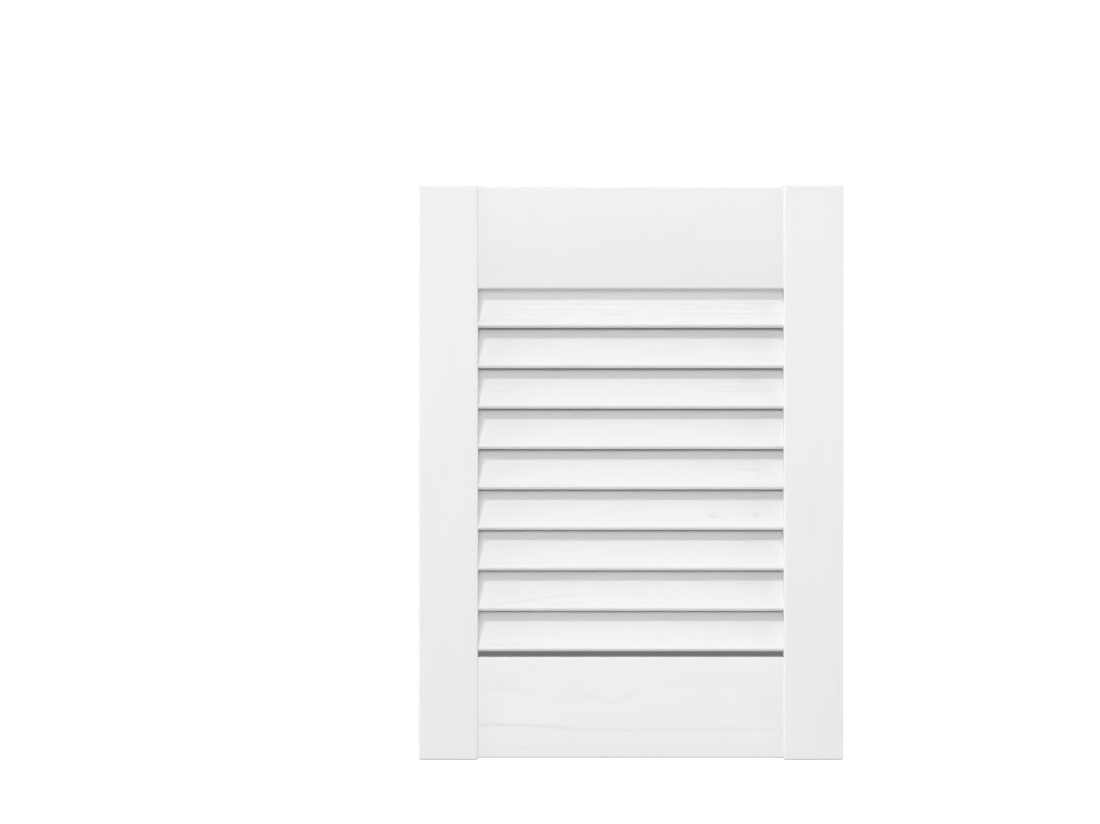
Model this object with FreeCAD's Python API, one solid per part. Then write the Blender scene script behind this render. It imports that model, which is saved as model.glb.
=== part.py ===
# Louvred cabinet door in solid pine: two stiles, two rails and a field of fixed louvres.
# The rails are tenoned into the stiles. Each louvre is a slanting slat whose ends sit in slots
# routed into the inner edges of the stiles, with its lower edge towards the front.
# The origin is the middle of the left stile's outer edge, where the door is hung.
# X runs across the door to the right, Y from the front to the back, and Z up.
import FreeCAD
import Part

import math
import os

# Driving dimensions of the frame, in millimetres
door_width = 294.0
door_height = 398.0
stile_width = 41.25
stile_thickness = 21.0
stile_arris = 1.5
top_rail_height = 70.5
bottom_rail_height = 69.8
rail_setback = 2.0
rail_arris = 1.2
horn = 1.5

# Mortise and tenon joints between the rails and the stiles
tenon_thickness = 7.0
tenon_length = 25.0
tenon_shoulder = 9.0
tenon_clearance = 0.1
mortise_end_gap = 1.0

# Louvres: the tilt is measured from the vertical
louvre_thickness = 4.5
louvre_edge_radius = 1.0
louvre_tilt_deg = 28.4
louvre_setback = 2.0
louvre_seat = 7.5
louvre_pitch_wanted = 28.0
head_gap = 0.08
foot_gap = 3.76
slot_clearance = 0.15
slot_end_gap = 0.5

# Sizes that follow from the frame
opening_width = door_width - 2 * stile_width
rail_thickness = stile_thickness - 2 * rail_setback
opening_top_z = door_height / 2 - horn - top_rail_height
opening_bottom_z = -door_height / 2 + horn + bottom_rail_height
stile_centre_x = {
    "left": stile_width / 2,
    "right": door_width - stile_width / 2,
}
rail_height = {
    "top": top_rail_height,
    "bottom": bottom_rail_height,
}
rail_centre_z = {
    "top": opening_top_z + top_rail_height / 2,
    "bottom": opening_bottom_z - bottom_rail_height / 2,
}
door_centre_x = door_width / 2

# Sizes that follow from the slant of a louvre: rounding its edges trims what it spans
tilt = math.radians(louvre_tilt_deg)
trim = 2 * louvre_edge_radius * (math.sin(tilt) + math.cos(tilt) - 1)
louvre_depth = stile_thickness - 2 * louvre_setback
louvre_width = (louvre_depth + trim - louvre_thickness * math.cos(tilt)) / math.sin(tilt)
louvre_rise = louvre_width * math.cos(tilt) + louvre_thickness * math.sin(tilt) - trim
louvre_length = opening_width + 2 * louvre_seat

# The louvres share the opening evenly, at the pitch nearest to the one wanted
louvre_travel = opening_top_z - opening_bottom_z - head_gap - foot_gap - louvre_rise
louvre_count = 1 + round(louvre_travel / louvre_pitch_wanted)
louvre_pitch = louvre_travel / max(1, louvre_count - 1)
top_louvre_z = opening_top_z - head_gap - louvre_rise / 2
louvre_centre_z = [top_louvre_z - index * louvre_pitch for index in range(louvre_count)]


def centred_box(size_x, size_y, size_z, x=0.0, y=0.0, z=0.0):
    """A box whose middle is at x, y, z."""
    corner = FreeCAD.Vector(x - size_x / 2, y - size_y / 2, z - size_z / 2)
    return Part.makeBox(size_x, size_y, size_z, corner)


def edges_along(shape, direction):
    """The straight edges of a shape that run along a direction."""
    tolerance = 1e-6
    found = []
    for edge in shape.Edges:
        tangent = edge.tangentAt(edge.FirstParameter)
        if tangent.cross(direction).Length < tolerance:
            found.append(edge)
    return found


def tenon_height(place):
    """Height of the tenons of one rail, between their two shoulders."""
    return rail_height[place] - 2 * tenon_shoulder


def slat_section(thickness, width, radius):
    """Upright section of a slat in the YZ plane, centred on the origin, with rounded corners."""
    half_y = thickness / 2
    half_z = width / 2
    inner_y = half_y - radius
    inner_z = half_z - radius
    edges = []
    corner_signs = [(1, 1), (-1, 1), (-1, -1), (1, -1)]
    for turn, (side_y, side_z) in enumerate(corner_signs):
        centre = FreeCAD.Vector(0, side_y * inner_y, side_z * inner_z)
        angles = [math.radians(90 * turn + step) for step in (0, 45, 90)]
        arc_points = [
            centre + FreeCAD.Vector(0, radius * math.cos(angle), radius * math.sin(angle))
            for angle in angles
        ]
        next_y, next_z = corner_signs[(turn + 1) % len(corner_signs)]
        next_angle = math.radians(90 * (turn + 1))
        next_start = FreeCAD.Vector(
            0,
            next_y * inner_y + radius * math.cos(next_angle),
            next_z * inner_z + radius * math.sin(next_angle),
        )
        edges.append(Part.Arc(*arc_points).toShape())
        edges.append(Part.LineSegment(arc_points[-1], next_start).toShape())
    return Part.Wire(edges)


def slat(thickness, width, radius, length, x_start, z_centre):
    """A slat along X from x_start, tilted so that its lower edge leans to the front."""
    section = Part.Face(slat_section(thickness, width, radius))
    solid = section.extrude(FreeCAD.Vector(length, 0, 0))
    solid.rotate(FreeCAD.Vector(0, 0, 0), FreeCAD.Vector(1, 0, 0), -louvre_tilt_deg)
    solid.translate(FreeCAD.Vector(x_start, 0, z_centre))
    return solid


def louvre(z_centre):
    """One louvre, with both ends reaching into the slots of the stiles."""
    x_start = stile_width - louvre_seat
    return slat(louvre_thickness, louvre_width, louvre_edge_radius, louvre_length, x_start, z_centre)


def louvre_slot(side, z_centre):
    """The space routed into one stile for the end of a louvre."""
    depth = louvre_seat + slot_end_gap
    x_start = stile_width - depth if side == "left" else door_width - stile_width
    return slat(
        louvre_thickness + 2 * slot_clearance,
        louvre_width + 2 * slot_clearance,
        louvre_edge_radius + slot_clearance,
        depth,
        x_start,
        z_centre,
    )


def mortise(side, place):
    """The space cut into one stile for the tenon of one rail."""
    depth = tenon_length + mortise_end_gap
    inward = depth / 2 if side == "left" else -depth / 2
    inner_edge_x = stile_width if side == "left" else door_width - stile_width
    return centred_box(
        depth,
        tenon_thickness + 2 * tenon_clearance,
        tenon_height(place) + 2 * tenon_clearance,
        x=inner_edge_x - inward,
        z=rail_centre_z[place],
    )


def stile(side):
    """An upright: every arris eased, then mortised for the rails and slotted for the louvres."""
    blank = centred_box(stile_width, stile_thickness, door_height, x=stile_centre_x[side])
    eased = blank.makeFillet(stile_arris, blank.Edges)
    mortises = [mortise(side, place) for place in rail_centre_z]
    slots = [louvre_slot(side, z_centre) for z_centre in louvre_centre_z]
    return eased.cut(mortises + slots)


def rail(place):
    """A cross member of the frame: its long arrises eased, with a tenon at each end."""
    z_centre = rail_centre_z[place]
    body = centred_box(opening_width, rail_thickness, rail_height[place], x=door_centre_x, z=z_centre)
    eased = body.makeFillet(rail_arris, edges_along(body, FreeCAD.Vector(1, 0, 0)))
    tongue_length = opening_width + 2 * tenon_length
    tongue = centred_box(tongue_length, tenon_thickness, tenon_height(place), x=door_centre_x, z=z_centre)
    return eased.fuse(tongue).removeSplitter()


def build_door():
    """Every piece of the door by its name."""
    pieces = {}
    for side in stile_centre_x:
        pieces[f"{side}_stile"] = stile(side)
    for place in rail_centre_z:
        pieces[f"{place}_rail"] = rail(place)
    for number, z_centre in enumerate(louvre_centre_z, start=1):
        pieces[f"louvre_{number}"] = louvre(z_centre)
    return pieces


def main():
    os.makedirs("parts", exist_ok=True)
    for name, shape in build_door().items():
        shape.exportStep(f"parts/{name}.step")
        print(f"{name}: {len(shape.Solids)} solid, {shape.Volume:.0f} mm3, valid {shape.isValid()}")
    print(f"{louvre_count} louvres at {louvre_pitch:.3f} mm, {louvre_width:.2f} wide, {louvre_rise:.2f} high")


main()
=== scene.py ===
"""Louvred cabinet door: painted pine boards dressed over the fixed frame, on a white studio stage."""
import math
from dataclasses import dataclass

import bpy
import numpy as np
from bpy.props import FloatProperty, FloatVectorProperty, PointerProperty
from bpy.types import Operator, Panel, PropertyGroup
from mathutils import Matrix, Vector


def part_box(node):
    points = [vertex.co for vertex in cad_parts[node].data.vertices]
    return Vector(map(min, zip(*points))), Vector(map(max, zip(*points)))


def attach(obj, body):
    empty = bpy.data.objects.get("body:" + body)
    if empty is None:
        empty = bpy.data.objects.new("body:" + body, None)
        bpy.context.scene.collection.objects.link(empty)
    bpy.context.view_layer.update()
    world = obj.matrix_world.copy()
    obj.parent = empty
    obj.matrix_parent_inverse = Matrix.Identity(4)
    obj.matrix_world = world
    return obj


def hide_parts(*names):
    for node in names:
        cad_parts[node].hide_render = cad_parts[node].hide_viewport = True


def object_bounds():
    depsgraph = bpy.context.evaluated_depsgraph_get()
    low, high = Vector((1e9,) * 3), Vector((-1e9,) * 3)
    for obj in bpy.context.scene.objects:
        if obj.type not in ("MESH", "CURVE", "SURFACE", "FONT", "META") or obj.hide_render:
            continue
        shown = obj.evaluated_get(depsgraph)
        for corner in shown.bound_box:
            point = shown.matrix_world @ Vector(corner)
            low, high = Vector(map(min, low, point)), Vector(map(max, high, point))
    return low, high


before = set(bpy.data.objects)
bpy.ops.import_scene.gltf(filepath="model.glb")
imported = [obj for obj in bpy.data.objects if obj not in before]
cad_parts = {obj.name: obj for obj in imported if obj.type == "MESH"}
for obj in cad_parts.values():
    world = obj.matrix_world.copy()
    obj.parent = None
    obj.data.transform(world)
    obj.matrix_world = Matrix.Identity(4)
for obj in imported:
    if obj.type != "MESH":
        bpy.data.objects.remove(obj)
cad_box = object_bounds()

bl_info = {
    "name": "Louvred Cabinet Door",
    "version": (1, 0, 0),
    "blender": (4, 5, 0),
    "location": "View3D > Sidebar > Louvred Door",
    "description": "Dresses a louvred door frame with painted, grained boards and sets its studio stage",
    "category": "Object",
}

MM = 0.001
BODY = "root"
STILES = ("left_stile", "right_stile")
RAILS = ("top_rail", "bottom_rail")
LOUVRES = tuple(sorted(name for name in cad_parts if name.startswith("louvre_")))
X_AXIS, Y_AXIS, Z_AXIS = range(3)
TONE_AND_LIGHT_ATTRIBUTE = "paint_tone"
SHARP_ANGLE = math.radians(50)
WHITE = (1.0, 1.0, 1.0, 1.0)


# Sizes, finishes and stage values that a user would change


def length(name, description, millimetres):
    """A length that a user can set."""
    return FloatProperty(name=name, description=description, default=millimetres * MM, min=0.0,
                         subtype="DISTANCE", unit="LENGTH", precision=6)


def angle(name, description, degrees):
    """An angle that a user can set."""
    return FloatProperty(name=name, description=description, default=math.radians(degrees),
                         subtype="ANGLE", unit="ROTATION")


def power(name, description, watts):
    """The power of a light that a user can set."""
    return FloatProperty(name=name, description=description, default=watts, min=0.0,
                         subtype="POWER", unit="POWER")


def share(name, description, default):
    """A share from 0 to 1 that a user can set."""
    return FloatProperty(name=name, description=description, default=default, min=0.0, max=1.0,
                         subtype="FACTOR")


def strength(name, description, default):
    """A brightness or scale that a user can set."""
    return FloatProperty(name=name, description=description, default=default, min=0.0)


def colour(name, description, default):
    """A colour that a user can set."""
    return FloatVectorProperty(name=name, description=description, default=default, min=0.0, max=1.0,
                               subtype="COLOR", size=3)


class DoorSizes(PropertyGroup):
    """Sizes of the boards that the frame's boxes don't give."""

    stile_arris: length("Stile arris", "Radius of the eased edges of a stile", 1.5)
    rail_arris: length("Rail arris", "Radius of the eased long edges of a rail", 1.2)
    tenon_thickness: length("Tenon thickness", "Thickness of the tongue on each end of a rail", 7.0)
    tenon_shoulder: length("Tenon shoulder", "Height of the shoulder above and below a tenon", 9.0)
    louvre_thickness: length("Louvre thickness", "Thickness of a louvre", 4.5)
    louvre_edge: length("Louvre edge", "Radius of the rounded edges of a louvre", 1.3)
    louvre_tilt: angle("Louvre tilt", "Slant of a louvre from the vertical", 28.4)
    joint_clearance: length(
        "Joint clearance", "Gap that the paint leaves round a louvre end or a tenon", 0.06)


class PaintFinish(PropertyGroup):
    """The white satin paint, the grain that shows through it, and its painted shade and highlight."""

    light_colour: colour("Light colour", "Colour of the paint where it is lightest", (0.92, 0.92, 0.92))
    dark_colour: colour("Dark colour", "Colour of the paint where it is darkest", (0.68, 0.68, 0.68))
    frame_share: share(
        "Frame share", "Where the frame's paint lies between the dark and the light colour", 0.59)
    # Painted light: the louvres are the frame's paint, set lighter to stand for the light they catch.
    louvre_lit_share: share(
        "Louvre share", "Where the louvres' paint lies between the dark and the light colour", 0.755)
    louvre_grain: strength("Louvre grain", "Scale of the grain's tone on the louvres", 1.25)
    # Painted highlight: how much lighter the frame's arrises are painted.
    arris_highlight: share("Arris highlight", "How much lighter the paint is where the frame's arrises are rubbed", 0.1)
    roughness: share("Roughness", "Roughness of the satin paint", 0.42)
    grain_relief: strength("Grain relief", "Scale of the relief that the grain gives the painted faces", 1.0)
    edge_fall: length("Edge fall", "How far sanding lowers a frame board's faces at their long edges", 0.15)
    edge_reach: length("Edge reach", "How far from a long edge the sanding starts to lower a face", 9.0)
    bead_height: length(
        "Bead height", "Height of the bead of paint that fills the joint under the top rail", 1.3)
    bead_reach: length("Bead reach", "How far the bead of paint reaches to the front of the joint", 2.6)
    across_step: length("Step across the grain", "Spacing of the mesh across the grain", 0.4)
    along_step: length("Step along the grain", "Spacing of the mesh along the grain", 2.6)


class StudioStage(PropertyGroup):
    """The camera, the lights and the white surroundings."""

    camera_distance: length("Camera distance", "Distance of the camera from the door's front", 3000.0)
    camera_right: length("Camera right", "How far the camera stands right of the door's left edge", 91.1)
    camera_up: length("Camera up", "How far the camera stands above the middle of the door", 41.7)
    view_width: length("View width", "Width of the picture at the door's front", 760.2)
    light_distance: length("Light distance", "Distance of each light from the middle of the door", 15000.0)
    key_power: power("Key power", "Power of the key light", 528.0)
    key_size: length("Key size", "Diameter of the key light", 1300.0)
    key_azimuth: angle("Key azimuth", "How far the key light stands to the left of straight ahead", 24.0)
    key_elevation: angle("Key elevation", "Height of the key light above the horizon", 40.0)
    fill_power: power("Fill power", "Power of the light in front", 705.0)
    fill_size: length("Fill size", "Diameter of the light in front", 6000.0)
    fill_azimuth: angle(
        "Fill azimuth", "How far the light in front stands to the left of straight ahead", 4.0)
    fill_elevation: angle("Fill elevation", "Height of the light in front above the horizon", 8.0)
    left_power: power("Left power", "Power of the light at the left", 600.0)
    left_size: length("Left size", "Diameter of the light at the left", 6000.0)
    left_azimuth: angle("Left azimuth", "How far the light at the left stands from straight ahead", 80.0)
    left_elevation: angle("Left elevation", "Height of the light at the left above the horizon", 18.0)
    right_power: power("Right power", "Power of the light at the right", 435.0)
    right_size: length("Right size", "Diameter of the light at the right", 6000.0)
    right_azimuth: angle("Right azimuth", "How far the light at the right stands from straight ahead", 285.0)
    right_elevation: angle("Right elevation", "Height of the light at the right above the horizon", 10.0)
    top_power: power("Top power", "Power of the light overhead", 150.0)
    top_size: length("Top size", "Diameter of the light overhead", 4500.0)
    top_azimuth: angle("Top azimuth", "How far the light overhead stands to the left of straight ahead", 10.0)
    top_elevation: angle("Top elevation", "Height of the light overhead above the horizon", 83.0)
    back_power: power("Back power", "Power of the light behind", 2000.0)
    back_size: length("Back size", "Diameter of the light behind", 6000.0)
    back_azimuth: angle("Back azimuth", "How far the light behind stands from straight ahead", 186.0)
    back_elevation: angle("Back elevation", "Height of the light behind above the horizon", -12.0)
    upper_power: power("Upper power", "Power of the light above and a little behind", 650.0)
    upper_size: length("Upper size", "Diameter of the light above and a little behind", 3000.0)
    upper_azimuth: angle(
        "Upper azimuth", "How far the light above and behind stands from straight ahead", 175.0)
    upper_elevation: angle("Upper elevation", "Height of the light above and behind, over the horizon", 83.0)
    edge_power: power("Edge power", "Power of each of the two lights beside the door", 540.0)
    edge_size: length("Edge size", "Diameter of each light beside the door", 3000.0)
    edge_azimuth: angle("Edge azimuth", "How far each light beside the door stands from straight ahead", 97.0)
    edge_elevation: angle("Edge elevation", "Height of each light beside the door above the horizon", 5.0)
    surround_up: strength(
        "Upper surround", "Brightness of the surroundings above, in front of the door", 0.335)
    surround_down: strength(
        "Lower surround", "Brightness of the surroundings below, in front of the door", 0.565)
    surround_back: strength("Back surround", "Brightness of the surroundings behind the door", 0.1)
    # Painted shade: the card's grey glow stands for the shaded space behind the louvres.
    gap_shade_tone: share("Card tone", "Grey of the card that closes the view through the louvres", 0.17)


class LouvredDoorSettings(PropertyGroup):
    """All the settings of the door and its stage."""

    sizes: PointerProperty(type=DoorSizes)
    paint: PointerProperty(type=PaintFinish)
    stage: PointerProperty(type=StudioStage)


def settings():
    """The door's settings on the current scene."""
    return bpy.context.scene.louvred_door


# Grain: a board is sawn from a log, and its growth rings show through the paint


@dataclass(frozen=True)
class GrainLine:
    """A grain line through three points, each along and across the board, in millimetres.

    The tone is the share of light that the line takes away, and a lighter line has a tone below nought.
    """

    start: tuple
    middle: tuple
    end: tuple
    tone: float
    width: float
    depth: float


@dataclass(frozen=True)
class Knot:
    """A small knot or a darker patch, placed along and across the board, in millimetres."""

    along: float
    across: float
    radius: float
    tone: float
    depth: float = 0.03


@dataclass(frozen=True)
class BoardCut:
    """How a board was sawn from its log, and how its paint took: lengths in millimetres from its middle.

    Painted shade darkens a frame board towards its foot, from the share painted_foot_shade_start of its
    height.
    """

    seed: int
    ring_width: float = 2.6
    pith_across: float = 6.0
    pith_depth: float = 60.0
    lean: float = 0.02
    relief: float = 0.02
    ring_tone: float = 0.014
    back_tone: float = 0.035
    painted_foot_shade: float = 0.0
    painted_foot_shade_start: float = 0.0
    lines: tuple = ()
    knots: tuple = ()


def streak(start, end, across, tone, width=0.5, depth=0.02):
    """A straight grain line between two places along the board."""
    return GrainLine((start, across), ((start + end) / 2, across), (end, across), tone, width, depth)


def dash(along, across, run, tone):
    """A short and shallow grain line, given by its middle and its run along the board."""
    return streak(along - run / 2, along + run / 2, across, tone, width=0.55, depth=0.015)


BOARD_CUTS = {
    "left_stile": BoardCut(
        seed=11, pith_depth=45.0, lean=0.03, painted_foot_shade=0.036, painted_foot_shade_start=0.15,
        lines=(dash(-22.0, -6.5, 34.0, 0.026), dash(58.0, -5.0, 30.0, 0.022),
               dash(-128.0, -7.0, 16.0, 0.040), dash(-149.0, -7.2, 18.0, 0.040),
               dash(-102.0, -16.9, 28.0, 0.040), dash(-72.0, -14.0, 20.0, 0.031),
               dash(130.0, -7.5, 8.0, 0.044))),
    "right_stile": BoardCut(
        seed=12, pith_depth=52.0, lean=-0.03, painted_foot_shade=0.036, painted_foot_shade_start=0.15,
        lines=(dash(20.0, 4.0, 36.0, 0.026), dash(-45.0, 3.0, 30.0, 0.026),
               dash(150.0, 13.0, 12.0, 0.040), dash(-134.0, -7.2, 10.0, 0.040),
               dash(-150.0, 17.0, 14.0, 0.048), dash(122.0, 15.0, 9.0, 0.048))),
    "top_rail": BoardCut(
        seed=21, pith_depth=70.0, painted_foot_shade=0.046,
        lines=(dash(-62.0, 1.7, 8.0, 0.045), dash(-52.5, 1.9, 11.0, 0.030),
               dash(-42.0, 1.7, 5.0, 0.033), dash(-22.0, 1.8, 5.0, 0.027), dash(30.0, 1.7, 17.0, 0.048),
               dash(52.0, 1.3, 6.0, 0.036), dash(21.0, 18.5, 17.0, 0.024),
               dash(-65.0, -8.9, 7.0, 0.033), dash(-90.0, -13.8, 7.0, 0.030),
               dash(30.0, -16.8, 5.0, 0.030), dash(55.0, -16.8, 5.0, 0.030),
               dash(-35.0, -30.0, 5.0, 0.027), dash(33.0, -30.0, 5.0, 0.027),
               dash(64.0, -8.5, 20.0, -0.018))),
    "bottom_rail": BoardCut(
        seed=22, pith_depth=64.0, lean=0.015, painted_foot_shade=0.020, painted_foot_shade_start=0.45,
        lines=(GrainLine((-38.0, 12.6), (-27.0, 7.2), (-14.0, 4.0), 0.036, 1.7, 0.03),
               GrainLine((-23.0, 4.9), (-11.0, 4.0), (0.5, 6.6), 0.034, 1.1, 0.03),
               GrainLine((-140.0, -11.9), (-86.0, -12.2), (-40.0, -13.8), 0.110, 1.3, 0.06),
               GrainLine((-60.0, -14.4), (-20.0, -15.9), (40.0, -15.6), 0.062, 1.5, 0.04),
               GrainLine((10.0, -15.4), (60.0, -14.9), (150.0, -15.0), 0.042, 1.6, 0.03),
               dash(-78.0, -28.4, 15.0, 0.040), dash(-48.0, -28.4, 11.0, 0.026),
               dash(-34.0, -28.7, 15.0, 0.030), dash(14.0, -28.9, 5.0, 0.026),
               dash(23.0, -28.9, 6.0, 0.026), dash(-73.0, 22.4, 9.0, 0.022),
               dash(52.0, 22.6, 8.0, 0.020), dash(98.0, 2.6, 16.0, 0.024)),
        knots=(Knot(-1.2, 8.8, 2.7, 0.046), Knot(90.0, 5.0, 11.0, 0.020, 0.0),
               Knot(-88.0, 16.0, 7.0, 0.020, 0.0))),
    "louvre_1": BoardCut(
        seed=31, ring_width=3.0, pith_across=80.0, pith_depth=30.0,
        lines=(streak(-106.0, 20.0, -0.1, -0.040, 0.7), streak(-100.0, 60.0, 1.9, 0.022, 0.7),
               streak(-72.0, -36.0, -2.1, 0.050), streak(-19.0, -3.0, -5.7, 0.080),
               streak(-90.0, -84.5, -5.7, 0.055), streak(-120.0, 30.0, -6.2, 0.024, 0.7),
               streak(-102.0, -20.0, -7.5, -0.034), streak(-125.0, -52.0, -11.0, 0.044, 1.5),
               streak(-41.0, -31.0, -12.8, 0.085), streak(-42.0, -34.0, -11.2, -0.040),
               streak(56.0, 112.0, 2.9, 0.046), streak(66.0, 87.0, 1.1, -0.048),
               streak(23.0, 86.0, -1.6, 0.056), streak(20.0, 112.0, -3.1, -0.034, 0.7),
               streak(22.0, 118.0, -5.5, 0.078), streak(66.0, 83.0, -8.7, 0.052),
               streak(14.0, 22.0, -8.8, 0.030), streak(37.0, 44.0, -9.0, 0.030),
               streak(30.0, 39.0, -12.1, 0.058), streak(84.0, 112.0, -10.6, -0.026, 0.8))),
    "louvre_2": BoardCut(
        seed=32,
        lines=(streak(50.0, 62.0, -9.8, 0.042, 0.9), streak(-96.0, -76.0, 6.0, 0.034),
               streak(-125.0, -70.0, -12.0, 0.030, 1.4))),
    "louvre_3": BoardCut(
        seed=33, relief=0.016, ring_tone=0.012, ring_width=3.4, pith_across=60.0, pith_depth=30.0,
        lines=(streak(-97.0, -76.0, -0.6, -0.050), streak(-98.0, -76.0, -2.4, 0.040),
               streak(-71.0, -56.5, -1.6, -0.056), streak(-55.0, -48.0, -1.6, -0.056),
               streak(-71.0, -56.5, -3.6, 0.046), streak(-2.0, 8.0, -3.8, 0.046),
               streak(14.5, 20.5, -3.6, 0.062), streak(14.5, 20.5, -1.7, -0.046),
               streak(33.5, 37.0, -1.7, -0.046), streak(66.0, 97.0, 4.7, 0.066),
               streak(60.0, 83.0, 2.6, -0.038), streak(58.0, 74.0, 0.6, 0.030),
               streak(56.0, 88.0, -2.8, 0.058), streak(49.5, 71.0, -10.0, 0.060),
               streak(88.0, 112.0, -5.3, -0.032, 0.8), streak(-125.0, -45.0, -10.6, 0.022, 1.4),
               streak(30.0, 40.0, 4.4, 0.030))),
    "louvre_4": BoardCut(
        seed=34,
        lines=(GrainLine((2.0, -13.9), (22.0, -12.2), (42.0, -13.4), 0.060, 0.5, 0.02),
               streak(26.0, 42.0, -8.9, 0.034), streak(70.0, 90.0, -6.8, 0.036),
               streak(-66.0, -46.0, 8.0, 0.034), streak(-110.0, -70.0, -11.6, 0.028, 1.2))),
    "louvre_5": BoardCut(
        seed=35, relief=0.014, pith_across=50.0, pith_depth=40.0,
        lines=(streak(-43.5, -37.5, 3.0, 0.060), streak(72.5, 90.0, -0.9, 0.088),
               streak(72.5, 90.0, -3.6, -0.026, 1.8), streak(39.0, 66.0, 4.9, 0.028, 0.8),
               streak(68.0, 76.0, 4.9, 0.034), streak(-26.0, -4.0, -3.9, 0.024),
               streak(42.0, 66.0, -5.5, -0.032), streak(-120.0, -32.0, -12.7, 0.062, 0.8),
               streak(74.0, 114.0, -13.0, 0.056, 0.7))),
    "louvre_6": BoardCut(
        seed=36,
        lines=(GrainLine((50.0, -3.6), (57.0, -6.2), (65.5, -6.6), 0.085, 0.7, 0.02),
               streak(-90.0, -70.0, -9.0, 0.030, 0.8), streak(70.0, 82.0, -11.6, -0.040),
               streak(32.0, 36.0, -11.4, -0.036)),
        knots=(Knot(57.5, -4.6, 2.4, 0.034), Knot(87.0, -4.6, 2.2, 0.070))),
    "louvre_7": BoardCut(
        seed=37,
        lines=(streak(-50.0, 120.0, 7.6, 0.030), streak(42.0, 48.0, 0.8, 0.028),
               streak(-14.0, 26.0, -8.4, -0.018), streak(-120.0, -48.0, -11.4, 0.026, 1.4))),
    "louvre_8": BoardCut(
        seed=38, ring_tone=0.010,
        lines=(GrainLine((-110.0, -14.0), (-72.0, -8.2), (-26.0, -2.0), 0.082, 0.6, 0.03),
               GrainLine((-104.0, -14.4), (-80.0, -10.8), (-58.0, -8.3), 0.070, 0.55, 0.02),
               GrainLine((-94.0, -14.2), (-50.0, -11.2), (-22.0, -8.7), 0.058, 0.55, 0.02),
               streak(-66.0, -54.0, -7.4, -0.034), streak(-42.0, -30.0, -7.4, -0.034),
               streak(-41.5, -35.5, 5.4, 0.052, 0.9), streak(-16.0, -8.0, -1.5, 0.036),
               streak(-20.0, -7.0, -3.9, -0.032), streak(72.0, 87.0, 5.2, 0.046, 0.7),
               streak(3.0, 8.5, -4.6, 0.040), streak(22.5, 31.5, -4.4, 0.032),
               streak(58.0, 78.0, -6.4, 0.036), streak(72.0, 84.0, -9.3, 0.034),
               streak(-20.0, 30.0, -9.6, 0.020))),
    "louvre_9": BoardCut(
        seed=39,
        lines=(streak(-83.0, -71.0, 6.8, 0.050), streak(-54.0, -42.0, 7.2, 0.036),
               streak(67.0, 79.0, 4.7, 0.052), streak(86.0, 104.0, 4.7, 0.052),
               streak(20.0, 64.0, 8.0, 0.030, 1.0), streak(-120.0, -60.0, -11.6, 0.034, 1.4)),
        knots=(Knot(42.0, -4.8, 1.5, 0.030),)),
}


def smooth_step(part):
    """A share from 0 to 1 that leaves 0 and reaches 1 gently."""
    part = np.clip(part, 0.0, 1.0)
    return part * part * (3.0 - 2.0 * part)


def smooth_noise(seed, u, v):
    """Seeded noise from -1 to 1 that changes smoothly over one unit of u and v."""
    lattice_size = 64
    lattice = np.random.default_rng(seed).uniform(-1.0, 1.0, (lattice_size, lattice_size))
    u_cell = np.floor(u).astype(int)
    v_cell = np.floor(v).astype(int)
    u_part = smooth_step(u - u_cell)
    v_part = smooth_step(v - v_cell)
    u_low, u_high = u_cell % lattice_size, (u_cell + 1) % lattice_size
    v_low, v_high = v_cell % lattice_size, (v_cell + 1) % lattice_size
    low = lattice[u_low, v_low] * (1 - u_part) + lattice[u_high, v_low] * u_part
    high = lattice[u_low, v_high] * (1 - u_part) + lattice[u_high, v_high] * u_part
    return low * (1 - v_part) + high * v_part


def ring_lines(cut, along, across, depth):
    """Thin lines of the growth rings, from 0 to 1, at points of a board."""
    wander, wander_length = 3.0, 70.0
    wave, wave_length, wave_width = 0.5 * cut.ring_width, 30.0, 7.0
    spread, spread_width = 0.8 * cut.ring_width, 2.7 * cut.ring_width
    late_wood, late_wood_width = 0.6, 0.18
    level = np.zeros_like(along)
    drift = wander * smooth_noise(cut.seed, along / wander_length, level)
    from_pith_across = across - cut.pith_across - cut.lean * along - drift
    from_pith_depth = depth - cut.pith_depth + 0.5 * cut.lean * along
    radius = np.hypot(from_pith_across, from_pith_depth)
    radius = radius + wave * smooth_noise(cut.seed + 1, along / wave_length, across / wave_width)
    radius = radius + spread * smooth_noise(cut.seed + 2, radius / spread_width, level)
    phase = (radius / cut.ring_width) % 1.0
    return np.exp(-((phase - late_wood) / late_wood_width) ** 2)


def line_share(line, along, across):
    """How far points of a board lie in a grain line, from 0 to 1. The line tapers, wavers and is uneven."""
    quick_waver, quick_length = 0.12, 3.1
    slow_waver, slow_length = 0.10, 7.7
    unevenness, uneven_length, uneven_turn = 0.15, 2.3, 5.0
    start_along, start_across = line.start
    curve = np.polyfit(*zip(line.start, line.middle, line.end), 2)
    passed = (along - start_along) / (line.end[0] - start_along)
    taper = np.sqrt(np.sin(np.pi * np.clip(passed, 0.0, 1.0)))
    waver = quick_waver * np.sin(along / quick_length + start_across)
    waver = waver + slow_waver * np.sin(along / slow_length)
    evenness = 1.0 - unevenness + unevenness * np.sin(along / uneven_length + uneven_turn * start_across)
    return evenness * taper * np.exp(-((across - np.polyval(curve, along) - waver) / line.width) ** 2)


def knot_share(knot, along, across):
    """How far points of a board lie in a knot, from 0 to 1."""
    stretch, crispness = 1.4, 4
    distance = np.hypot((along - knot.along) / stretch, across - knot.across) / knot.radius
    return np.exp(-distance ** crispness)


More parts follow.
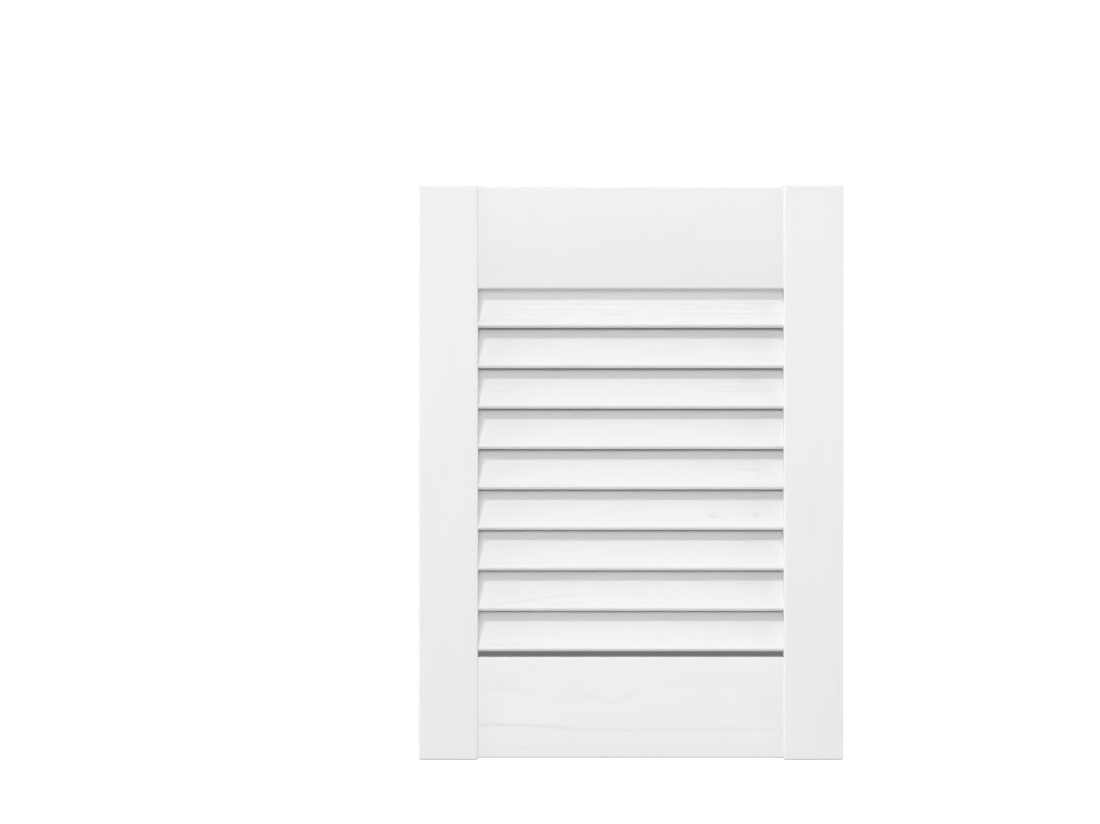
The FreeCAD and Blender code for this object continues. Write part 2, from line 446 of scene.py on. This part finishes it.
def board_grain(cut, along, across, depth):
    """How deep the grain sinks at points of a board, in millimetres, and the share of light that it takes."""
    patch_length, patch_width, patch_cover = 38.0, 4.0, 0.35
    streak_length, streak_width, streak_relief, streak_tone = 16.0, 0.9, 0.15, 0.0015
    cloud_length, cloud_width, cloud_tone = 45.0, 11.0, 0.0025
    face_skin = 3.0
    cover = smooth_noise(cut.seed + 3, along / patch_length, across / patch_width) + patch_cover
    rings = ring_lines(cut, along, across, depth) * np.clip(cover, 0.0, 1.0)
    streaks = smooth_noise(cut.seed + 4, along / streak_length, across / streak_width)
    clouds = smooth_noise(cut.seed + 5, along / cloud_length, across / cloud_width)
    behind = smooth_step((depth - depth.min()) / face_skin)
    sunk = cut.relief * (1.0 + behind) * (rings + streak_relief * (1.0 + streaks))
    tone = (cut.ring_tone + behind * cut.back_tone) * rings + streak_tone * streaks + cloud_tone * clouds
    marks = [(line, line_share(line, along, across)) for line in cut.lines]
    marks += [(knot, knot_share(knot, along, across)) for knot in cut.knots]
    on_front = depth < 0.0
    for mark, within in marks:
        sunk = sunk + mark.depth * within * on_front
        tone = tone + mark.tone * within * on_front
    return sunk, tone


# Board meshes: a closed, finely divided box with eased edges


def grid_line(half, arris, step, turn_segments):
    """Coordinates of the mesh lines from -half to half: even over the flat, and closer over the arrises."""
    flat_half = half - arris
    flat = np.linspace(-flat_half, flat_half, max(2, math.ceil(2 * flat_half / step) + 1))
    if arris == 0.0:
        return flat
    turn = flat_half + arris * np.tan(np.linspace(0.0, math.pi / 4, turn_segments + 1))[1:]
    return np.concatenate([-turn[::-1], flat, turn])


def joined(blocks):
    """Points and quads of several blocks as one, where each block is given as its points and quads."""
    points = []
    quads = []
    total = 0
    for block_points, block_quads in blocks:
        points.append(block_points)
        quads.append(block_quads + total)
        total += len(block_points)
    return np.concatenate(points), np.concatenate(quads)


def eased_box(size, arrises, steps, turn_segments=4):
    """Points, outward normals and quads of a closed box whose edges are eased by an arris along each axis."""
    merge_distance = 0.001 * MM
    half = np.asarray(size) / 2
    lines = [grid_line(half[axis], arrises[axis], steps[axis], turn_segments) for axis in range(3)]
    faces = []
    for axis in range(3):
        u_axis, v_axis = (axis + 1) % 3, (axis + 2) % 3
        u_grid, v_grid = np.meshgrid(lines[u_axis], lines[v_axis], indexing="ij")
        index = np.arange(u_grid.size).reshape(u_grid.shape)
        corners = [index[:-1, :-1], index[1:, :-1], index[1:, 1:], index[:-1, 1:]]
        face_quads = np.stack(corners, axis=-1).reshape(-1, 4)
        for side in (1, -1):
            face_points = np.zeros((u_grid.size, 3))
            face_points[:, axis] = side * half[axis]
            face_points[:, u_axis] = u_grid.ravel()
            face_points[:, v_axis] = v_grid.ravel()
            faces.append((face_points, face_quads if side == 1 else face_quads[:, ::-1]))
    points, quads = joined(faces)
    keys = np.round(points / merge_distance).astype(np.int64)
    _, first, where = np.unique(keys, axis=0, return_index=True, return_inverse=True)
    points = points[first]
    quads = where.reshape(-1)[quads]

    flat_half = half - np.asarray(arrises)
    core = np.clip(points, -flat_half, flat_half)
    offset = points - core
    reach = np.abs(offset).max(axis=1, keepdims=True)
    distance = np.linalg.norm(offset, axis=1, keepdims=True)
    normals = np.divide(offset, distance, out=np.zeros_like(offset), where=distance > 0)
    return core + normals * reach, normals, quads


def plain_box(size, middle):
    """Points and quads of a box with square edges and undivided faces."""
    points, _, quads = eased_box(size, (0.0, 0.0, 0.0), size)
    return points + middle, quads


def mesh_from(name, points, quads):
    """A mesh of quads."""
    mesh = bpy.data.meshes.new(name)
    mesh.from_pydata(points.tolist(), [], quads.tolist())
    mesh.validate()
    return mesh


def turned(points, tilt):
    """Points turned about X so that their lower part leans to the front."""
    cosine, sine = math.cos(tilt), math.sin(tilt)
    result = points.copy()
    result[:, Y_AXIS] = points[:, Y_AXIS] * cosine + points[:, Z_AXIS] * sine
    result[:, Z_AXIS] = points[:, Z_AXIS] * cosine - points[:, Y_AXIS] * sine
    return result


def link(name, data):
    """A new object on the scene, made of a mesh, a light or a camera."""
    made = bpy.data.objects.new(name, data)
    bpy.context.scene.collection.objects.link(made)
    return made


def combine(piece, other_mesh, operation):
    """Cuts another mesh out of a piece, or joins it on, for good."""
    other = link(piece.name + "_tool", other_mesh)
    modifier = piece.modifiers.new("joinery", "BOOLEAN")
    modifier.operation = operation
    modifier.solver = "MANIFOLD"
    modifier.object = other
    bpy.context.view_layer.update()
    evaluated = piece.evaluated_get(bpy.context.evaluated_depsgraph_get())
    result = bpy.data.meshes.new_from_object(evaluated)
    plain = piece.data
    piece.modifiers.clear()
    piece.data = result
    bpy.data.meshes.remove(plain)
    bpy.data.objects.remove(other)
    bpy.data.meshes.remove(other_mesh)


def write_tone_and_light(mesh, values):
    """Keeps the tone at each vertex, grain with painted shade and highlight, for the material to read."""
    attribute = mesh.attributes.new(TONE_AND_LIGHT_ATTRIBUTE, "FLOAT", "POINT")
    attribute.data.foreach_set("value", values.astype(np.float32))


def vertex_points(mesh):
    """The mesh's vertices as an array."""
    points = np.empty(len(mesh.vertices) * 3, np.float32)
    mesh.vertices.foreach_get("co", points)
    return points.reshape(-1, 3).astype(float)


def centre_and_size(node):
    """Middle and size of a frame node's box."""
    low, high = (np.array(corner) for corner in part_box(node))
    return (low + high) / 2, high - low


def louvre_section(node):
    """Thickness and width of a louvre, worked out from the height of its tilted box."""
    sizes = settings().sizes
    _, size = centre_and_size(node)
    cosine, sine = math.cos(sizes.louvre_tilt), math.sin(sizes.louvre_tilt)
    trim = 2 * sizes.louvre_edge * (sine + cosine - 1)
    width = (size[Z_AXIS] + trim - sizes.louvre_thickness * sine) / cosine
    return sizes.louvre_thickness, width


def tongue_size(rail):
    """Size of the tongue that runs through a rail and stands out at both ends as its tenons."""
    sizes = settings().sizes
    _, size = centre_and_size(rail)
    return np.array([size[X_AXIS], sizes.tenon_thickness, size[Z_AXIS] - 2 * sizes.tenon_shoulder])


def board_steps(grain_axis):
    """Mesh spacing along each axis: coarse along the grain and fine across it."""
    paint = settings().paint
    return [paint.along_step if axis == grain_axis else paint.across_step for axis in range(3)]


def across_axis(grain_axis):
    """The axis across a board's face: X where the grain runs up, and Z where it runs level."""
    return X_AXIS if grain_axis == Z_AXIS else Z_AXIS


def grain_coordinates(points, grain_axis):
    """Along, across and depth of points measured from a board's middle, in millimetres."""
    return tuple(points[:, axis] / MM for axis in (grain_axis, across_axis(grain_axis), Y_AXIS))


def sanded(points, normals, size, grain_axis):
    """Points of a frame board whose front and back faces fall a little towards their long edges."""
    paint = settings().paint
    across = across_axis(grain_axis)
    from_edge = size[across] / 2 - np.abs(points[:, across])
    drop = paint.edge_fall * np.clip(1.0 - from_edge / paint.edge_reach, 0.0, 1.0) ** 2
    result = points.copy()
    result[:, Y_AXIS] -= drop * normals[:, Y_AXIS]
    return result


def grained(points, normals, node, grain_axis):
    """Points of a board let in by its grain, less and less towards its arrises."""
    fade_start, fade_reach = 1.0 * MM, 2.0 * MM
    sunk, _ = board_grain(BOARD_CUTS[node], *grain_coordinates(points, grain_axis))
    from_faces = np.sort(np.abs(points).max(axis=0) - np.abs(points), axis=1)
    from_arris = from_faces[:, 1]
    fade = smooth_step((from_arris - fade_start) / fade_reach)
    return points - normals * (fade * sunk * MM * settings().paint.grain_relief)[:, None]


def arris_highlight_share(node, points, grain_axis):
    """How far points of a frame board lie on an arris, from 0 to 1, where a painted highlight lightens it."""
    full_highlight, unevenness, patch = 0.7, 0.2, 12.0
    sizes = settings().sizes
    arris = sizes.stile_arris if node in STILES else sizes.rail_arris
    inside = np.clip((np.abs(points) - np.abs(points).max(axis=0)) / arris + 1.0, 0.0, 1.0)
    if node in RAILS:
        inside[:, grain_axis] = 0.0
    on_arris = np.clip(np.sort(inside, axis=1)[:, 1] / full_highlight, 0.0, 1.0)
    along, across, _ = grain_coordinates(points, grain_axis)
    patches = smooth_noise(BOARD_CUTS[node].seed + 6, along / patch, across / patch)
    return on_arris * (1.0 - unevenness + unevenness * patches)


def paint_tone(node, points, grain_axis):
    """Tone of a board's points, 0 darkest to 1 lightest: its grain with painted shade and highlight."""
    paint = settings().paint
    cut = BOARD_CUTS[node]
    _, taken = board_grain(cut, *grain_coordinates(points, grain_axis))
    height = points[:, Z_AXIS]
    down = (height.max() - height) / (height.max() - height.min())
    # Painted shade: the colour darkens towards the foot of each frame board.
    foot = cut.painted_foot_shade * smooth_step((down - cut.painted_foot_shade_start) / (1.0 - cut.painted_foot_shade_start))
    if node in LOUVRES:
        taken = taken * paint.louvre_grain
    else:
        # Painted highlight: the frame's arrises are painted lighter.
        taken = taken - paint.arris_highlight * arris_highlight_share(node, points, grain_axis)
    dark, light = paint.dark_colour[1], paint.light_colour[1]
    # Painted light: one paint, set lighter on the louvres than on the frame.
    plain_share = paint.louvre_lit_share if node in LOUVRES else paint.frame_share
    plain = dark + plain_share * (light - dark)
    return np.clip((plain * (1.0 - taken) * (1.0 - foot) - dark) / (light - dark), 0.0, 1.0)


def place_board(piece, node, grain_axis, material, local_points):
    """Finishes a board: its tone with painted light, smooth faces, material, body and the node that it stands
    for.
    """
    write_tone_and_light(piece.data, paint_tone(node, local_points, grain_axis))
    piece.data.shade_smooth()
    piece.data.set_sharp_from_angle(angle=SHARP_ANGLE)
    piece.data.materials.clear()
    piece.data.materials.append(material)
    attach(piece, BODY)
    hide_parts(node)


# Paint


def add_node(tree, kind, values=()):
    """A new shader node, with values for some of its inputs."""
    node = tree.nodes.new(kind)
    for name, value in dict(values).items():
        node.inputs[name].default_value = value
    return node


def paint_material(name, grain_axis):
    """White satin paint over pine: grain tone with painted light, brush marks along the grain and uneven
    gloss.
    """
    found = bpy.data.materials.get(name)
    if found:
        return found
    paint = settings().paint
    material = bpy.data.materials.new(name)
    material.use_nodes = True
    tree = material.node_tree
    shader = tree.nodes["Principled BSDF"]
    shader.inputs["IOR"].default_value = 1.46
    shader.inputs["Specular IOR Level"].default_value = 0.4
    place = add_node(tree, "ShaderNodeTexCoord")

    marks_along, marks_across = 120.0, 1800.0
    marks = [marks_along if axis == grain_axis else marks_across for axis in range(3)]
    stretch = add_node(tree, "ShaderNodeMapping", {"Scale": marks})
    brush = add_node(tree, "ShaderNodeTexNoise", {"Scale": 1.0, "Detail": 3.0})
    bump = add_node(tree, "ShaderNodeBump", {"Strength": 0.10, "Distance": 0.05 * MM})
    tree.links.new(place.outputs["Object"], stretch.inputs["Vector"])
    tree.links.new(stretch.outputs["Vector"], brush.inputs["Vector"])
    tree.links.new(brush.outputs["Fac"], bump.inputs["Height"])
    tree.links.new(bump.outputs["Normal"], shader.inputs["Normal"])

    gloss_spread = 0.06
    gloss_range = {"To Min": paint.roughness - gloss_spread, "To Max": paint.roughness + gloss_spread}
    cloud = add_node(tree, "ShaderNodeTexNoise", {"Scale": 18.0, "Detail": 4.0})
    gloss = add_node(tree, "ShaderNodeMapRange", gloss_range)
    tree.links.new(place.outputs["Object"], cloud.inputs["Vector"])
    tree.links.new(cloud.outputs["Fac"], gloss.inputs["Value"])
    tree.links.new(gloss.outputs["Result"], shader.inputs["Roughness"])

    # Grain tone with painted shade and highlight, read from each vertex.
    tone = add_node(tree, "ShaderNodeAttribute")
    tone.attribute_name = TONE_AND_LIGHT_ATTRIBUTE
    paint_colour = add_node(tree, "ShaderNodeMix")
    paint_colour.data_type = "RGBA"
    paint_colour.inputs["A"].default_value = (*paint.dark_colour, 1.0)
    paint_colour.inputs["B"].default_value = (*paint.light_colour, 1.0)
    tree.links.new(tone.outputs["Fac"], paint_colour.inputs["Factor"])
    tree.links.new(paint_colour.outputs["Result"], shader.inputs["Base Color"])
    return material


# Operators: one for each group of like boards, and one for the stage


class DOOR_OT_make_stiles(Operator):
    """Make the two stiles, slotted for the louvres and mortised for the rails"""

    bl_idname = "louvred_door.make_stiles"
    bl_label = "Make Stiles"
    grain_axis = Z_AXIS

    def louvre_slots(self, louvre):
        """The space in both stiles for the ends of one louvre."""
        sizes = settings().sizes
        middle, size = centre_and_size(louvre)
        room = 2 * sizes.joint_clearance
        thickness, width = louvre_section(louvre)
        edge = sizes.louvre_edge + sizes.joint_clearance
        space = (size[X_AXIS] + room, thickness + room, width + room)
        points, _, quads = eased_box(space, (0.0, edge, edge), space)
        return turned(points, sizes.louvre_tilt) + middle, quads

    def mortises(self, rail):
        """The space in both stiles for the tenons of one rail."""
        middle, _ = centre_and_size(rail)
        return plain_box(tongue_size(rail) + 2 * settings().sizes.joint_clearance, middle)

    def execute(self, context):
        arris = settings().sizes.stile_arris
        for node in STILES:
            middle, size = centre_and_size(node)
            points, normals, quads = eased_box(size, (arris,) * 3, board_steps(self.grain_axis))
            points = sanded(points, normals, size, self.grain_axis)
            points = grained(points, normals, node, self.grain_axis) + middle
            piece = link("painted_" + node, mesh_from(node, points, quads))
            spaces = [self.louvre_slots(louvre) for louvre in LOUVRES]
            spaces += [self.mortises(rail) for rail in RAILS]
            combine(piece, mesh_from("joinery", *joined(spaces)), "DIFFERENCE")
            material = paint_material("upright_paint", self.grain_axis)
            place_board(piece, node, self.grain_axis, material,
                        vertex_points(piece.data) - middle)
        return {"FINISHED"}


class DOOR_OT_make_rails(Operator):
    """Make the two rails with their tenons"""

    bl_idname = "louvred_door.make_rails"
    bl_label = "Make Rails"
    grain_axis = X_AXIS

    def bead_added(self, points, normals):
        """Points of the top rail with the bead of paint that all but fills the joint to the first louvre."""
        bead_slope, fill_share, facing_down = 0.4, 0.85, -0.99
        sizes = settings().sizes
        paint = settings().paint
        edge = sizes.louvre_edge
        thickness, width = louvre_section(LOUVRES[0])
        middle, _ = centre_and_size(LOUVRES[0])
        edge_centre = np.array([[0.0, edge - thickness / 2, width / 2 - edge]])
        edge_centre = turned(edge_centre, sizes.louvre_tilt) + middle
        ahead = edge_centre[0, Y_AXIS] - points[:, Y_AXIS]
        on_round = np.clip(ahead, 0.0, edge * math.cos(sizes.louvre_tilt))
        past_round = np.maximum(ahead - on_round, 0.0)
        drop = edge - np.sqrt(edge ** 2 - on_round ** 2) + past_round / math.tan(sizes.louvre_tilt)
        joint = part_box("top_rail")[0].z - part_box(LOUVRES[0])[1].z
        from_front = (paint.bead_reach - ahead) / paint.bead_reach
        bead = paint.bead_height * np.clip(from_front / bead_slope, 0.0, 1.0)
        behind = smooth_step((ahead + paint.bead_reach) / paint.bead_reach)
        fill = np.minimum(fill_share * (joint + drop), bead) * behind
        result = points.copy()
        result[:, Z_AXIS] -= np.where(normals[:, Z_AXIS] < facing_down, fill, 0.0)
        return result

    def execute(self, context):
        arris = settings().sizes.rail_arris
        left_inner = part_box("left_stile")[1].x
        right_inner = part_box("right_stile")[0].x
        for node in RAILS:
            middle, size = centre_and_size(node)
            body = (right_inner - left_inner, size[Y_AXIS], size[Z_AXIS])
            points, normals, quads = eased_box(body, (0.0, arris, arris), board_steps(self.grain_axis))
            points = sanded(points, normals, body, self.grain_axis)
            points = grained(points, normals, node, self.grain_axis) + middle
            if node == "top_rail":
                points = self.bead_added(points, normals)
            piece = link("painted_" + node, mesh_from(node, points, quads))
            combine(piece, mesh_from("tongue", *plain_box(tongue_size(node), middle)), "UNION")
            material = paint_material("crosswise_paint", self.grain_axis)
            place_board(piece, node, self.grain_axis, material,
                        vertex_points(piece.data) - middle)
        return {"FINISHED"}


class DOOR_OT_make_louvres(Operator):
    """Make the fixed louvres, lower edge to the front"""

    bl_idname = "louvred_door.make_louvres"
    bl_label = "Make Louvres"
    grain_axis = X_AXIS

    def execute(self, context):
        sizes = settings().sizes
        edge = sizes.louvre_edge
        for node in LOUVRES:
            middle, size = centre_and_size(node)
            thickness, width = louvre_section(node)
            points, normals, quads = eased_box(
                (size[X_AXIS], thickness, width), (0.0, edge, edge), board_steps(self.grain_axis))
            local = grained(points, normals, node, self.grain_axis)
            world = turned(local, sizes.louvre_tilt) + middle
            piece = link("painted_" + node, mesh_from(node, world, quads))
            material = paint_material("slat_paint", self.grain_axis)
            place_board(piece, node, self.grain_axis, material, local)
        return {"FINISHED"}


class DOOR_OT_set_stage(Operator):
    """Set the floor, the card behind the louvres, the surroundings, the lights and the camera"""

    bl_idname = "louvred_door.set_stage"
    bl_label = "Set Stage"

    def add_sheet(self, name, corners, material):
        """A flat sheet of the stage that casts no shade and gives the door no light."""
        mesh = bpy.data.meshes.new(name)
        mesh.from_pydata(corners, [], [(0, 1, 2, 3)])
        mesh.materials.append(material)
        sheet = link(name, mesh)
        sheet.visible_diffuse = False
        sheet.visible_glossy = False
        sheet.visible_shadow = False
        return sheet

    def add_floor(self):
        """A plain white floor that the door stands on."""
        half = 8.0
        floor_grey, floor_glow = 0.2, 0.97
        low, high = cad_box
        middle = (low + high) / 2
        around = [(-half, -half), (half, -half), (half, half), (-half, half)]
        corners = [(middle.x + x, middle.y + y, low.z) for x, y in around]
        material = bpy.data.materials.new("floor_white")
        material.use_nodes = True
        shader = material.node_tree.nodes["Principled BSDF"]
        shader.inputs["Base Color"].default_value = (floor_grey, floor_grey, floor_grey, 1.0)
        shader.inputs["Roughness"].default_value = 1.0
        shader.inputs["Specular IOR Level"].default_value = 0.0
        shader.inputs["Emission Color"].default_value = WHITE
        shader.inputs["Emission Strength"].default_value = floor_glow
        floor = self.add_sheet("studio_floor", corners, material)

    def add_gap_shade_card(self):
        """A grey card close behind the louvres, seen only from the front; its even glow is painted shade that
        closes the view between them.
        """
        stand_off, side_lap, rail_lap = 0.5 * MM, 20 * MM, 30 * MM
        _, high = cad_box
        y = high.y + stand_off
        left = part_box("left_stile")[0].x + side_lap
        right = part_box("right_stile")[1].x - side_lap
        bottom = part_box("bottom_rail")[1].z - rail_lap
        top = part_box("top_rail")[0].z + rail_lap
        corners = [(left, y, bottom), (right, y, bottom), (right, y, top), (left, y, top)]
        tone = settings().stage.gap_shade_tone
        material = bpy.data.materials.new("gap_card_grey")
        material.use_nodes = True
        tree = material.node_tree
        tree.nodes.remove(tree.nodes["Principled BSDF"])
        side = add_node(tree, "ShaderNodeNewGeometry")
        # Painted shade: an even grey glow, not lit by the lamps.
        grey = add_node(tree, "ShaderNodeEmission", {"Color": (tone, tone, tone, 1.0)})
        clear = add_node(tree, "ShaderNodeBsdfTransparent")
        mix = add_node(tree, "ShaderNodeMixShader")
        tree.links.new(side.outputs["Backfacing"], mix.inputs["Fac"])
        tree.links.new(grey.outputs["Emission"], mix.inputs[1])
        tree.links.new(clear.outputs["BSDF"], mix.inputs[2])
        tree.links.new(mix.outputs["Shader"], tree.nodes["Material Output"].inputs["Surface"])
        card = self.add_sheet("gap_card", corners, material)
        card.visible_transmission = False

    def soft_step(self, tree, source):
        """A node that steps softly from one brightness to another where the source passes nought."""
        reach = 0.35
        step = add_node(tree, "ShaderNodeMapRange", {"From Min": -reach, "From Max": reach})
        step.interpolation_type = "SMOOTHSTEP"
        tree.links.new(source, step.inputs["Value"])
        return step

    def add_surroundings(self):
        """White all round to the eye, lighting the door more from the front than from behind."""
        seen_white = 1.05
        stage = settings().stage
        world = bpy.data.worlds.new("white_surroundings")
        bpy.context.scene.world = world
        world.use_nodes = True
        tree = world.node_tree
        lit = tree.nodes["Background"]
        lit.inputs["Color"].default_value = WHITE
        seen = add_node(tree, "ShaderNodeBackground", {"Color": WHITE, "Strength": seen_white})
        place = add_node(tree, "ShaderNodeTexCoord")
        parts = add_node(tree, "ShaderNodeSeparateXYZ")
        tree.links.new(place.outputs["Generated"], parts.inputs["Vector"])
        height = self.soft_step(tree, parts.outputs["Z"])
        height.inputs["To Min"].default_value = stage.surround_down
        height.inputs["To Max"].default_value = stage.surround_up
        depth = self.soft_step(tree, parts.outputs["Y"])
        depth.inputs["To Max"].default_value = stage.surround_back
        tree.links.new(height.outputs["Result"], depth.inputs["To Min"])
        tree.links.new(depth.outputs["Result"], lit.inputs["Strength"])
        path = add_node(tree, "ShaderNodeLightPath")
        mix = add_node(tree, "ShaderNodeMixShader")
        tree.links.new(path.outputs["Is Camera Ray"], mix.inputs["Fac"])
        tree.links.new(lit.outputs["Background"], mix.inputs[1])
        tree.links.new(seen.outputs["Background"], mix.inputs[2])
        tree.links.new(mix.outputs["Shader"], tree.nodes["World Output"].inputs["Surface"])

    def add_soft_light(self, name, watts, size, azimuth, elevation):
        """A round soft light that faces the middle of the door."""
        low, high = cad_box
        target = (low + high) / 2
        level = math.cos(elevation)
        towards = Vector((-level * math.sin(azimuth), -level * math.cos(azimuth), math.sin(elevation)))
        data = bpy.data.lights.new(name, "AREA")
        data.shape = "DISK"
        data.size = size
        data.energy = watts
        light = link(name, data)
        light.location = target + towards * settings().stage.light_distance
        light.rotation_euler = towards.to_track_quat("Z", "Y").to_euler()
        light.visible_camera = False
        return light

    def add_lights(self):
        """A key light high at the left, and soft lights in front, at the sides, overhead and behind.

        The back, upper and edge lights light the door directly only, and don't show in its gloss.
        """
        stage = settings().stage
        values = ("power", "size", "azimuth", "elevation")
        lights = {}
        for name in ("key", "fill", "left", "right", "top", "back", "upper"):
            set_values = [getattr(stage, f"{name}_{value}") for value in values]
            lights[name] = self.add_soft_light(f"{name}_light", *set_values)
        for name, side in (("left_edge", 1), ("right_edge", -1)):
            lights[name] = self.add_soft_light(
                f"{name}_light", stage.edge_power, stage.edge_size,
                side * stage.edge_azimuth, stage.edge_elevation)
        for name in ("back", "upper", "left_edge", "right_edge"):
            lights[name].data.cycles.max_bounces = 0
            lights[name].visible_glossy = False

    def add_camera(self):
        """A camera level with the door and square to it, a little left of its middle and above it."""
        stage = settings().stage
        low, high = cad_box
        data = bpy.data.cameras.new("photo_camera")
        data.sensor_fit = "HORIZONTAL"
        data.sensor_width = 36.0
        data.lens = data.sensor_width * stage.camera_distance / stage.view_width
        data.clip_end = 100.0
        camera = link("photo_camera", data)
        camera.location = (low.x + stage.camera_right, low.y - stage.camera_distance,
                           (low.z + high.z) / 2 + stage.camera_up)
        camera.rotation_euler = (math.pi / 2, 0.0, 0.0)
        bpy.context.scene.camera = camera

    def execute(self, context):
        context.scene.view_settings.view_transform = "Standard"
        self.add_floor()
        self.add_gap_shade_card()
        self.add_surroundings()
        self.add_lights()
        self.add_camera()
        return {"FINISHED"}


class DOOR_PT_sidebar(Panel):
    """The door's settings and the buttons that make it"""

    bl_label = "Louvred Door"
    bl_idname = "DOOR_PT_sidebar"
    bl_space_type = "VIEW_3D"
    bl_region_type = "UI"
    bl_category = "Louvred Door"

    def draw(self, context):
        layout = self.layout
        for operator in (DOOR_OT_make_stiles, DOOR_OT_make_rails, DOOR_OT_make_louvres, DOOR_OT_set_stage):
            layout.operator(operator.bl_idname)
        door = context.scene.louvred_door
        for label, group in (("Sizes", door.sizes), ("Paint", door.paint), ("Stage", door.stage)):
            box = layout.box()
            box.label(text=label)
            for name in group.__annotations__:
                box.prop(group, name)


CLASSES = (
    DoorSizes, PaintFinish, StudioStage, LouvredDoorSettings,
    DOOR_OT_make_stiles, DOOR_OT_make_rails, DOOR_OT_make_louvres, DOOR_OT_set_stage,
    DOOR_PT_sidebar,
)


def register():
    for cls in CLASSES:
        bpy.utils.register_class(cls)
    bpy.types.Scene.louvred_door = PointerProperty(type=LouvredDoorSettings)


def unregister():
    del bpy.types.Scene.louvred_door
    for cls in reversed(CLASSES):
        bpy.utils.unregister_class(cls)


def main():
    register()
    bpy.ops.louvred_door.make_stiles()
    bpy.ops.louvred_door.make_rails()
    bpy.ops.louvred_door.make_louvres()
    bpy.ops.louvred_door.set_stage()


if __name__ == "__main__":
    main()
